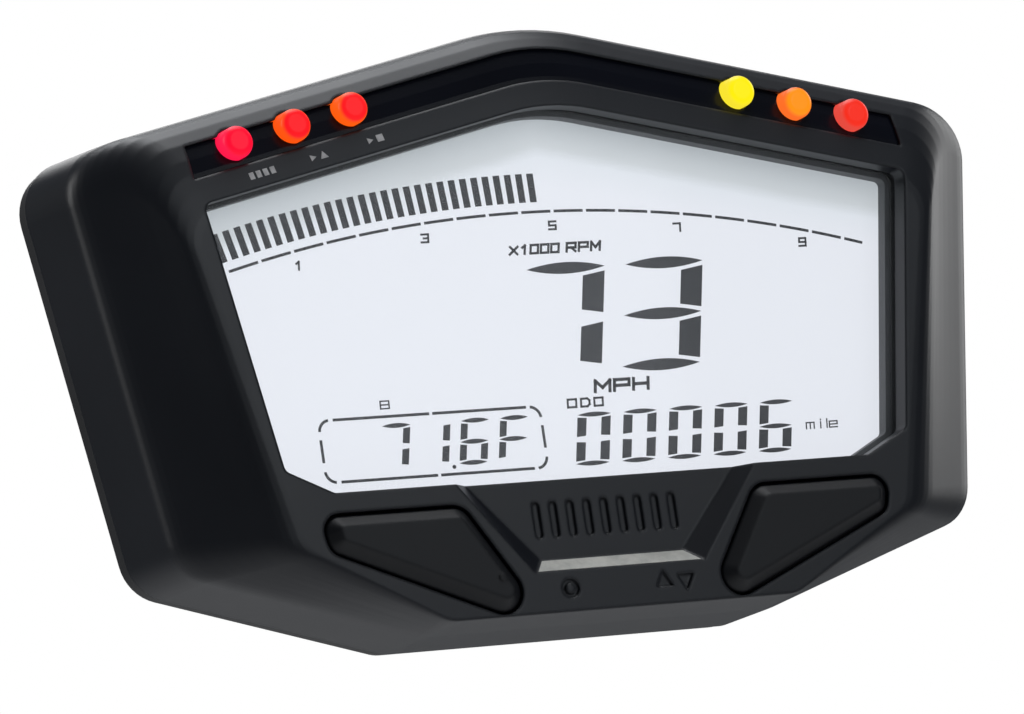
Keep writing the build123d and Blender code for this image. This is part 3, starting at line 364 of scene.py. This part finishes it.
# --------------------------------------------------------------------- flat drawings
class Drawing:
    """Thin raised shapes on a surface; places are millimetres: x, z above the sill."""

    def __init__(self, name, material, slot, surface):
        self.name = name
        self.material = material
        self.slot = slot
        self.surface = surface
        self.mesh = bmesh.new()

    def shape(self, points):
        """Adds a raised plate with this outline."""
        front = [self.mesh.verts.new(self.surface(x, z, INK_HEIGHT)) for x, z in points]
        back = [self.mesh.verts.new(self.surface(x, z, 0.0)) for x, z in points]
        self.mesh.faces.new(front)
        self.mesh.faces.new(list(reversed(back)))
        count = len(points)
        for i in range(count):
            j = (i + 1) % count
            self.mesh.faces.new((front[j], front[i], back[i], back[j]))

    def line(self, start, end, width):
        """Adds a straight stroke with square ends."""
        a = Vector(start)
        b = Vector(end)
        along = (b - a).normalized() * width / 2
        side = Vector((-along.y, along.x))
        corners = (a - along + side, a - along - side, b + along - side, b + along + side)
        self.shape([tuple(corner) for corner in corners])

    def stroke(self, points, width):
        """Adds a straight stroke between each point and the next."""
        for start, end in zip(points, points[1:]):
            self.line(start, end, width)

    def lens(self, x, z, length, thickness, lean_origin):
        """Adds a pointed segment made of two curves that meet at its ends."""
        steps = 12
        upper = []
        lower = []
        for i in range(steps + 1):
            t = 2 * i / steps - 1
            bulge = thickness / 2 * (1 - t * t)
            px = x + length * (t + 1) / 2
            upper.append((px, z + bulge))
            if 0 < i < steps:
                lower.append((px, z - bulge))
        points = upper + list(reversed(lower))
        self.shape([(px + LEAN * (pz - lean_origin), pz) for px, pz in points])

    def ring(self, x, z, radius, width):
        """Adds a ring of short plates."""
        steps = 20
        inner = radius - width
        for i in range(steps):
            a = 2 * math.pi * i / steps
            b = 2 * math.pi * (i + 1) / steps
            self.shape([(x + r * math.cos(t), z + r * math.sin(t))
                        for r, t in ((radius, a), (radius, b), (inner, b), (inner, a))])

    def arc(self, x, z, radius, start, end, width):
        """Adds a curved stroke between two angles in degrees."""
        steps = 8
        outer = radius + width / 2
        inner = radius - width / 2
        for i in range(steps):
            a = math.radians(start + (end - start) * i / steps)
            b = math.radians(start + (end - start) * (i + 1) / steps)
            self.shape([(x + r * math.cos(t), z + r * math.sin(t))
                        for r, t in ((outer, a), (outer, b), (inner, b), (inner, a))])

    def finish(self):
        """Makes the piece, which rides with the case."""
        mesh = bpy.data.meshes.new(self.name)
        bmesh.ops.recalc_face_normals(self.mesh, faces=self.mesh.faces[:])
        self.mesh.to_mesh(mesh)
        self.mesh.free()
        piece = bpy.data.objects.new(self.name, mesh)
        bpy.context.scene.collection.objects.link(piece)
        mesh.materials.append(self.material)
        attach(piece, CASE)
        return piece


def on_glass(x, z, lift):
    """Point on the front of the display glass."""
    return Vector((x * MM, GLASS_LOW.y - lift, WINDOW_SILL + z * MM))


def display_drawing(name):
    """Empty drawing in liquid-crystal segments."""
    return Drawing(name, ink, "gloss_black", on_glass)


# ------------------------------------------------------------- digits and letters
GLYPHS = {
    "X": [[(0, 0), (1, 0.9)], [(0, 0.9), (1, 0)]],
    "0": [[(0, 0), (1, 0), (1, 1), (0, 1), (0, 0)]],
    "O": [[(0, 0), (1, 0), (1, 1), (0, 1), (0, 0)]],
    "1": [[(0.25, 0.75), (0.6, 1), (0.6, 0)]],
    "3": [[(0, 1), (1, 1), (1, 0), (0, 0)], [(0.35, 0.5), (1, 0.5)]],
    "5": [[(1, 1), (0, 1), (0, 0.5), (1, 0.5), (1, 0), (0, 0)]],
    "7": [[(0, 1), (1, 1), (1, 0)]],
    "8": [[(0, 0), (1, 0), (1, 1), (0, 1), (0, 0)], [(0, 0.5), (1, 0.5)]],
    "9": [[(1, 0.5), (0, 0.5), (0, 1), (1, 1), (1, 0), (0, 0)]],
    "D": [[(0, 0), (0.75, 0), (1, 0.25), (1, 0.75), (0.75, 1), (0, 1), (0, 0)]],
    "H": [[(0, 0), (0, 1)], [(1, 0), (1, 1)], [(0, 0.5), (1, 0.5)]],
    "M": [[(0, 0), (0, 1), (0.5, 0.35), (1, 1), (1, 0)]],
    "P": [[(0, 0), (0, 1), (1, 1), (1, 0.45), (0, 0.45)]],
    "R": [[(0, 0), (0, 1), (1, 1), (1, 0.45), (0, 0.45)], [(0.5, 0.45), (1, 0)]],
    "e": [[(1, 0), (0, 0), (0, 0.7), (1, 0.7), (1, 0.35), (0, 0.35)]],
    "i": [[(0.5, 0), (0.5, 0.7)], [(0.5, 0.95), (0.5, 1)]],
    "l": [[(0.5, 0), (0.5, 1)]],
    "m": [[(0, 0), (0, 0.7), (1, 0.7), (1, 0)], [(0.5, 0), (0.5, 0.7)]],
}


NARROW_LETTERS = "il"
NARROW_SHARE = 0.6                    # room they take, compared with other letters


def write_text(drawing, text, place, size):
    """Draws letters from a place at the left end of the baseline."""
    x, z = place
    width, height, gap, line, lean = size
    for letter in text:
        for path in GLYPHS[letter]:
            points = [(x + px * width + lean * pz * height, z + pz * height) for px, pz in path]
            drawing.stroke(points, line)
        x += (width + gap) * (NARROW_SHARE if letter in NARROW_LETTERS else 1.0)


SEGMENTS = {
    "0": "abcdef", "1": "bc", "3": "abcdg", "6": "acdefg", "7": "abc", "F": "aefg",
}


def digit(drawing, character, x, z, size):
    """Seven-segment digit: pointed level segments and broad upright ones."""
    width, height, lens, bar, gap, cut = size
    middle = height / 2
    lit = SEGMENTS[character]
    for name, level in (("d", 0.0), ("g", middle), ("a", height)):
        if name in lit:
            drawing.lens(x, z + level, width, lens, z)
    for name, side, low in (("b", 1, middle), ("c", 1, 0.0), ("f", 0, middle), ("e", 0, 0.0)):
        if name not in lit:
            continue
        high = low + middle
        outer = width if side else 0.0
        inner = width - bar if side else bar
        corners = [(outer, high - gap), (inner, high - gap - cut), (inner, low + gap + cut),
                   (outer, low + gap)]
        drawing.shape([(x + px + LEAN * pz, z + pz) for px, pz in corners])


# ---------------------------------------------------------------- display contents
# Sizes of a digit: width, height, thickness of its level segments, width of its upright
# ones, gap between segments, and how far the inner corners of the upright ones are cut.
BIG_DIGIT = (11.2, 13.1, 1.5, 3.1, 0.6, 0.5)
BIG_DIGIT_X = -6.3
BIG_DIGIT_Z = 14.45
BIG_DIGIT_PITCH = 14.2
ODO_DIGIT = (4.75, 6.2, 0.6, 1.3, 0.32, 0.1)
ODO_DIGIT_X = -0.75
ODO_DIGIT_Z = 2.45
ODO_DIGIT_PITCH = 6.6
TRIP_DIGIT = (3.9, 5.3, 0.6, 0.95, 0.3, 0.1)
TRIP_DIGIT_Z = 3.6
TRIP_READING = (("7", -28.0), ("1", -22.4), ("6", -17.0), ("F", -11.5))
TRIP_POINT = (-17.8, 3.2)             # decimal point
TRIP_POINT_RADIUS = 0.26
TRIP_POINT_WIDTH = 0.25

# The box of dashes round the temperature.
BOX_LEFT = -35.6
BOX_RIGHT = -4.7
BOX_LOW = 2.3
BOX_HIGH = 10.1
BOX_CORNER = 1.5
BOX_LEVEL_DASHES = ((BOX_LEFT + 2.2, -20.4), (-19.6, BOX_RIGHT - 2.1))
BOX_UPRIGHT_DASH = (5.0, 7.5)
BOX_CORNER_GAP = 5                    # degrees left open at each end of a corner

# Sizes of lettering: letter width, height, gap, thickness of the strokes, and lean.
NUMBER_LETTERS = (0.95, 1.0, 0.3, 0.26, 0.1)
NUMBER_OFFSET = 0.5                   # from the middle of a number to its corner
THOUSAND_LETTERS = (1.05, 1.05, 0.42, 0.31, LEAN)
THOUSAND_PLACE = (-5.7, 29.65)
RPM_LETTERS = (1.25, 1.05, 0.5, 0.32, LEAN)
RPM_PLACE = (2.4, 29.65)
SPEED_LETTERS = (2.1, 1.35, 0.65, 0.42, 0.15)
SPEED_LETTERS_PLACE = (3.5, 11.5)
ODO_LETTERS = (1.2, 1.0, 0.7, 0.27, 0.1)
ODO_LETTERS_PLACE = (-0.7, 9.7)
MILE_LETTERS = (1.15, 1.1, 0.4, 0.17, 0.1)
MILE_PLACE = (33.1, 4.9)
MARK_LETTERS = (1.2, 0.95, 0.3, 0.18, 0.05)
MARK_PLACE = (-26.8, 11.1)


def arc_point(x, radius):
    """Height of a dial arc at x."""
    centre_z = ARC_TOP - ARC_RADIUS
    return centre_z + math.sqrt(radius ** 2 - (x - ARC_CENTRE_X) ** 2)


def rev_bars():
    """Row of upright bars that stand on the dial arc, as on a rev counter."""
    drawing = display_drawing("display_rev_bars")
    foot = ARC_RADIUS + BAR_GAP
    centre = Vector((ARC_CENTRE_X, ARC_TOP - ARC_RADIUS))
    for i in range(BAR_COUNT):
        middle = BAR_LAST_X - BAR_PITCH * i
        angle = math.asin((middle - ARC_CENTRE_X) / foot)
        out = Vector((math.sin(angle), math.cos(angle)))
        side = Vector((out.y, -out.x)) * BAR_WIDTH / 2
        low = centre + out * foot
        high = centre + out * (foot + BAR_LENGTH)
        drawing.shape([tuple(p) for p in (low - side, low + side, high + side, high - side)])
    return drawing.finish()


def dial_arc():
    """Dashed arc under the bars, with numbers below it."""
    drawing = display_drawing("display_dial_arc")
    x = DIAL_LEFT
    while x < DIAL_RIGHT:
        end = min(x + DASH_PITCH - DASH_GAP, DIAL_RIGHT)
        points = [x + (end - x) * i / DASH_STEPS for i in range(DASH_STEPS + 1)]
        drawing.stroke([(p, arc_point(p, ARC_RADIUS)) for p in points], DASH_LINE)
        x += DASH_PITCH
    for text, (middle_x, middle_z) in DIAL_NUMBERS.items():
        corner = (middle_x - NUMBER_OFFSET, middle_z - NUMBER_OFFSET)
        write_text(drawing, text, corner, NUMBER_LETTERS)
    write_text(drawing, "X1000", THOUSAND_PLACE, THOUSAND_LETTERS)
    write_text(drawing, "RPM", RPM_PLACE, RPM_LETTERS)
    return drawing.finish()


def speed_digits():
    """Large speed reading with its unit below."""
    drawing = display_drawing("display_speed")
    for i, character in enumerate("73"):
        digit(drawing, character, BIG_DIGIT_X + BIG_DIGIT_PITCH * i, BIG_DIGIT_Z, BIG_DIGIT)
    write_text(drawing, "MPH", SPEED_LETTERS_PLACE, SPEED_LETTERS)
    return drawing.finish()


def odometer():
    """Distance reading with its name above and its unit to the right."""
    drawing = display_drawing("display_odometer")
    for i, character in enumerate("00006"):
        digit(drawing, character, ODO_DIGIT_X + ODO_DIGIT_PITCH * i, ODO_DIGIT_Z, ODO_DIGIT)
    write_text(drawing, "ODO", ODO_LETTERS_PLACE, ODO_LETTERS)
    write_text(drawing, "mile", MILE_PLACE, MILE_LETTERS)
    return drawing.finish()


def reading_box(drawing):
    """Box of dashes with rounded corners."""
    for z in (BOX_LOW, BOX_HIGH):
        for start, end in BOX_LEVEL_DASHES:
            drawing.line((start, z), (end, z), DASH_LINE)
    low, high = BOX_UPRIGHT_DASH
    for x in (BOX_LEFT, BOX_RIGHT):
        drawing.line((x, low), (x, high), DASH_LINE)
    left = BOX_LEFT + BOX_CORNER
    right = BOX_RIGHT - BOX_CORNER
    bottom = BOX_LOW + BOX_CORNER
    top = BOX_HIGH - BOX_CORNER
    for x, z, start in ((right, top, 0), (left, top, 90), (left, bottom, 180), (right, bottom, 270)):
        drawing.arc(x, z, BOX_CORNER, start + BOX_CORNER_GAP, start + 90 - BOX_CORNER_GAP, DASH_LINE)


def thermometer():
    """Temperature reading in its box, with a small mark above."""
    drawing = display_drawing("display_temperature")
    for character, x in TRIP_READING:
        digit(drawing, character, x, TRIP_DIGIT_Z, TRIP_DIGIT)
    drawing.ring(*TRIP_POINT, TRIP_POINT_RADIUS, TRIP_POINT_WIDTH)
    reading_box(drawing)
    write_text(drawing, "8", MARK_PLACE, MARK_LETTERS)
    return drawing.finish()


# ------------------------------------------------------------------ printed symbols and the recess's painted highlight
SYMBOL_RISE = 1.7                     # above the window's upper edge
SYMBOL_SHIFT = 2.6                    # to the right of the lamp above it
SYMBOL_SLOPE = math.atan(ROOF_SLOPE)
BLOCK_COUNT = 4
BLOCK_FIRST = -1.7                    # left edge of the first block
BLOCK_PITCH = 1.0
BLOCK_WIDTH = 0.65
BLOCK_HALF_HEIGHT = 0.45
ARROW = [(-1.2, -0.4), (-0.4, 0.0), (-1.2, 0.4)]
TRIANGLE = [(0.1, -0.45), (1.2, -0.45), (0.65, 0.5)]
SQUARE = [(0.1, -0.45), (1.05, -0.45), (1.05, 0.45), (0.1, 0.45)]
RAY_START = 10.0 * MM                 # rays toward the bezel start this far in front of it

# Painted highlight on the lower sloping wall of the recess: a pale strip that narrows upward,
# standing in for the reflection of the light above.
HIGHLIGHT_LOW = -11.65
HIGHLIGHT_HIGH = -10.15
HIGHLIGHT_LOW_HALF = 11.5
HIGHLIGHT_HIGH_HALF = 10.0


def pale_print():
    """Pale screen print, slightly worn."""
    material, tree, shader = new_material("pale_print")
    wear = noise(tree, 900.0, 5.0)
    tree.links.new(ramp(tree, wear, [(0.3, (0.30, 0.30, 0.30)), (0.6, (0.52, 0.52, 0.52))]),
                   shader.inputs["Base Color"])
    shader.inputs["Roughness"].default_value = 0.5
    return material


def bezel_surface():
    """Function that gives the point of the bezel's front at x, z, lifted off it."""
    bezel = frame["nodes"]["front_bezel"]
    tree = BVHTree.FromObject(bezel, bpy.context.evaluated_depsgraph_get())

    def on_bezel(x, z, lift):
        start = Vector((x * MM, CASE_LOW.y - RAY_START, WINDOW_SILL + z * MM))
        hit, normal = tree.ray_cast(start, Vector((0, 1, 0)))[:2]
        return hit + normal * lift

    return on_bezel


def painted_highlight_finish():
    """Pale satin colour with faint streaks, used as a painted highlight."""
    material, tree, shader = new_material("painted_highlight_finish")
    streaks = noise(tree, 160.0, 6.0, 0.7)
    tree.links.new(ramp(tree, streaks, [(0.35, (0.40, 0.40, 0.37)), (0.6, (0.62, 0.61, 0.56))]),
                   shader.inputs["Base Color"])
    shader.inputs["Metallic"].default_value = 0.3
    shader.inputs["Roughness"].default_value = 0.35
    return material


def recess_highlight():
    """Painted highlight: a pale strip on the lower sloping wall of the recess, standing in for the
    reflection of the light above.
    """
    drawing = Drawing("recess_painted_highlight", painted_highlight_finish(), "tinned_metal", bezel_surface())
    drawing.shape([(-HIGHLIGHT_LOW_HALF, HIGHLIGHT_LOW), (HIGHLIGHT_LOW_HALF, HIGHLIGHT_LOW),
                   (HIGHLIGHT_HIGH_HALF, HIGHLIGHT_HIGH), (-HIGHLIGHT_HIGH_HALF, HIGHLIGHT_HIGH)])
    return drawing.finish()


def symbol_place(lamp):
    """Middle of the symbol printed below a lamp."""
    low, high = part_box(f"indicator_lamp_{lamp}")
    x = (low.x + high.x) / 2 / MM + SYMBOL_SHIFT
    peak = (ROOF_PEAK - WINDOW_SILL) / MM + SYMBOL_RISE
    return x, peak - ROOF_SLOPE * abs(x)


def symbol_outline(place, points):
    """Outline at a place, turned to the slope of the window's upper edge."""
    x, z = place
    cos = math.cos(SYMBOL_SLOPE)
    sin = math.sin(SYMBOL_SLOPE)
    return [(x + px * cos - pz * sin, z + px * sin + pz * cos) for px, pz in points]


def lamp_symbols():
    """Small plain pictograms printed below the three left-hand lamps."""
    drawing = Drawing("lamp_symbols", pale_print(), "membrane", bezel_surface())
    low = -BLOCK_HALF_HEIGHT
    high = BLOCK_HALF_HEIGHT
    for i in range(BLOCK_COUNT):
        left = BLOCK_FIRST + i * BLOCK_PITCH
        right = left + BLOCK_WIDTH
        block = [(left, low), (right, low), (right, high), (left, high)]
        drawing.shape(symbol_outline(symbol_place(1), block))
    for lamp, mark in ((2, TRIANGLE), (3, SQUARE)):
        for points in (ARROW, mark):
            drawing.shape(symbol_outline(symbol_place(lamp), points))
    return drawing.finish()


# ------------------------------------------------------------------ stage and light
FLOOR_DROP = 0.45                     # floor below the object's lowest point
FLOOR_SIZE = 6.0
SURROUND_STRENGTH = 0.10
LIGHT_TARGET = Vector((0, 0, 0))

# Soft lights: place, width, height, power and colour.
LIGHTS = {
    "top_soft": ((0.10, 0.05, 0.9), 0.9, 0.5, 8.5, (0.95, 0.97, 1.0)),
    "right_soft": ((0.9, 0.25, 0.25), 0.4, 0.6, 2.0, (1.0, 1.0, 1.0)),
    "front_fill": ((0.35, -1.1, 0.35), 0.5, 0.5, 2.5, (0.9, 0.95, 1.0)),
    "rear_soft": ((0.5, 1.2, 0.7), 0.8, 0.8, 5.0, (1.0, 1.0, 1.0)),
    "left_edge": ((-0.9, 0.25, 0.35), 0.3, 0.7, 3.5, (1.0, 1.0, 1.0)),
}


def floor():
    """Pale matt floor below the object."""
    bpy.ops.mesh.primitive_plane_add(size=FLOOR_SIZE, location=(0, 0, CASE_LOW.z - FLOOR_DROP))
    plane = bpy.context.object
    plane.name = "studio_floor"
    material, tree, shader = new_material("studio_floor")
    tone = noise(tree, 3.0)
    tree.links.new(ramp(tree, tone, [(0.2, (0.80, 0.80, 0.80)), (0.8, (0.84, 0.84, 0.84))]),
                   shader.inputs["Base Color"])
    shader.inputs["Roughness"].default_value = 0.9
    plane.data.materials.append(material)


def world():
    """White backdrop for the camera, and a dim surround for everything else."""
    scene_world = bpy.data.worlds.new("studio")
    bpy.context.scene.world = scene_world
    scene_world.use_nodes = True
    tree = scene_world.node_tree
    tree.nodes.clear()
    output = tree.nodes.new("ShaderNodeOutputWorld")
    mix = tree.nodes.new("ShaderNodeMixShader")
    path = tree.nodes.new("ShaderNodeLightPath")
    dim = tree.nodes.new("ShaderNodeBackground")
    dim.inputs["Color"].default_value = (0.85, 0.92, 1.0, 1.0)
    dim.inputs["Strength"].default_value = SURROUND_STRENGTH
    white = tree.nodes.new("ShaderNodeBackground")
    white.inputs["Color"].default_value = (1.0, 1.0, 1.0, 1.0)
    tree.links.new(path.outputs["Is Camera Ray"], mix.inputs["Fac"])
    tree.links.new(dim.outputs["Background"], mix.inputs[1])
    tree.links.new(white.outputs["Background"], mix.inputs[2])
    tree.links.new(mix.outputs["Shader"], output.inputs["Surface"])


def area_light(name, place, width, height, power, colour):
    """Rectangular light aimed at the middle of the frame."""
    data = bpy.data.lights.new(name, "AREA")
    data.shape = "RECTANGLE"
    data.size = width
    data.size_y = height
    data.energy = power
    data.color = colour
    light = bpy.data.objects.new(name, data)
    bpy.context.scene.collection.objects.link(light)
    light.location = place
    direction = LIGHT_TARGET - Vector(place)
    light.rotation_euler = direction.to_track_quat("-Z", "Y").to_euler()


def lights():
    """Places every light of the table."""
    for name, values in LIGHTS.items():
        area_light(name, *values)


CAMERA_PLACE = (-0.4024, -0.7675, -0.1380)
CAMERA_FORWARD = Vector((0.46399, 0.87161, 0.15814))
CAMERA_UP = Vector((0.05554, -0.20679, 0.97681))
CAMERA_LENS = 239.06
SENSOR_WIDTH = 36.0


def camera():
    """Camera at its place, turned by its forward and up directions."""
    data = bpy.data.cameras.new("camera")
    data.lens = CAMERA_LENS
    data.sensor_width = SENSOR_WIDTH
    data.clip_start = 0.01
    data.clip_end = 20.0
    view = bpy.data.objects.new("camera", data)
    bpy.context.scene.collection.objects.link(view)
    right = CAMERA_FORWARD.cross(CAMERA_UP).normalized()
    up = right.cross(CAMERA_FORWARD).normalized()
    back = -CAMERA_FORWARD.normalized()
    turn = Matrix((right, up, back)).transposed().to_4x4()
    view.matrix_world = Matrix.Translation(CAMERA_PLACE) @ turn
    bpy.context.scene.camera = view


# --------------------------------------------------------------------------- build
bpy.context.scene.view_settings.view_transform = "Standard"
dress_cad_nodes()
rev_bars()
dial_arc()
speed_digits()
odometer()
thermometer()
lamp_symbols()
recess_highlight()
floor()
world()
lights()
camera()
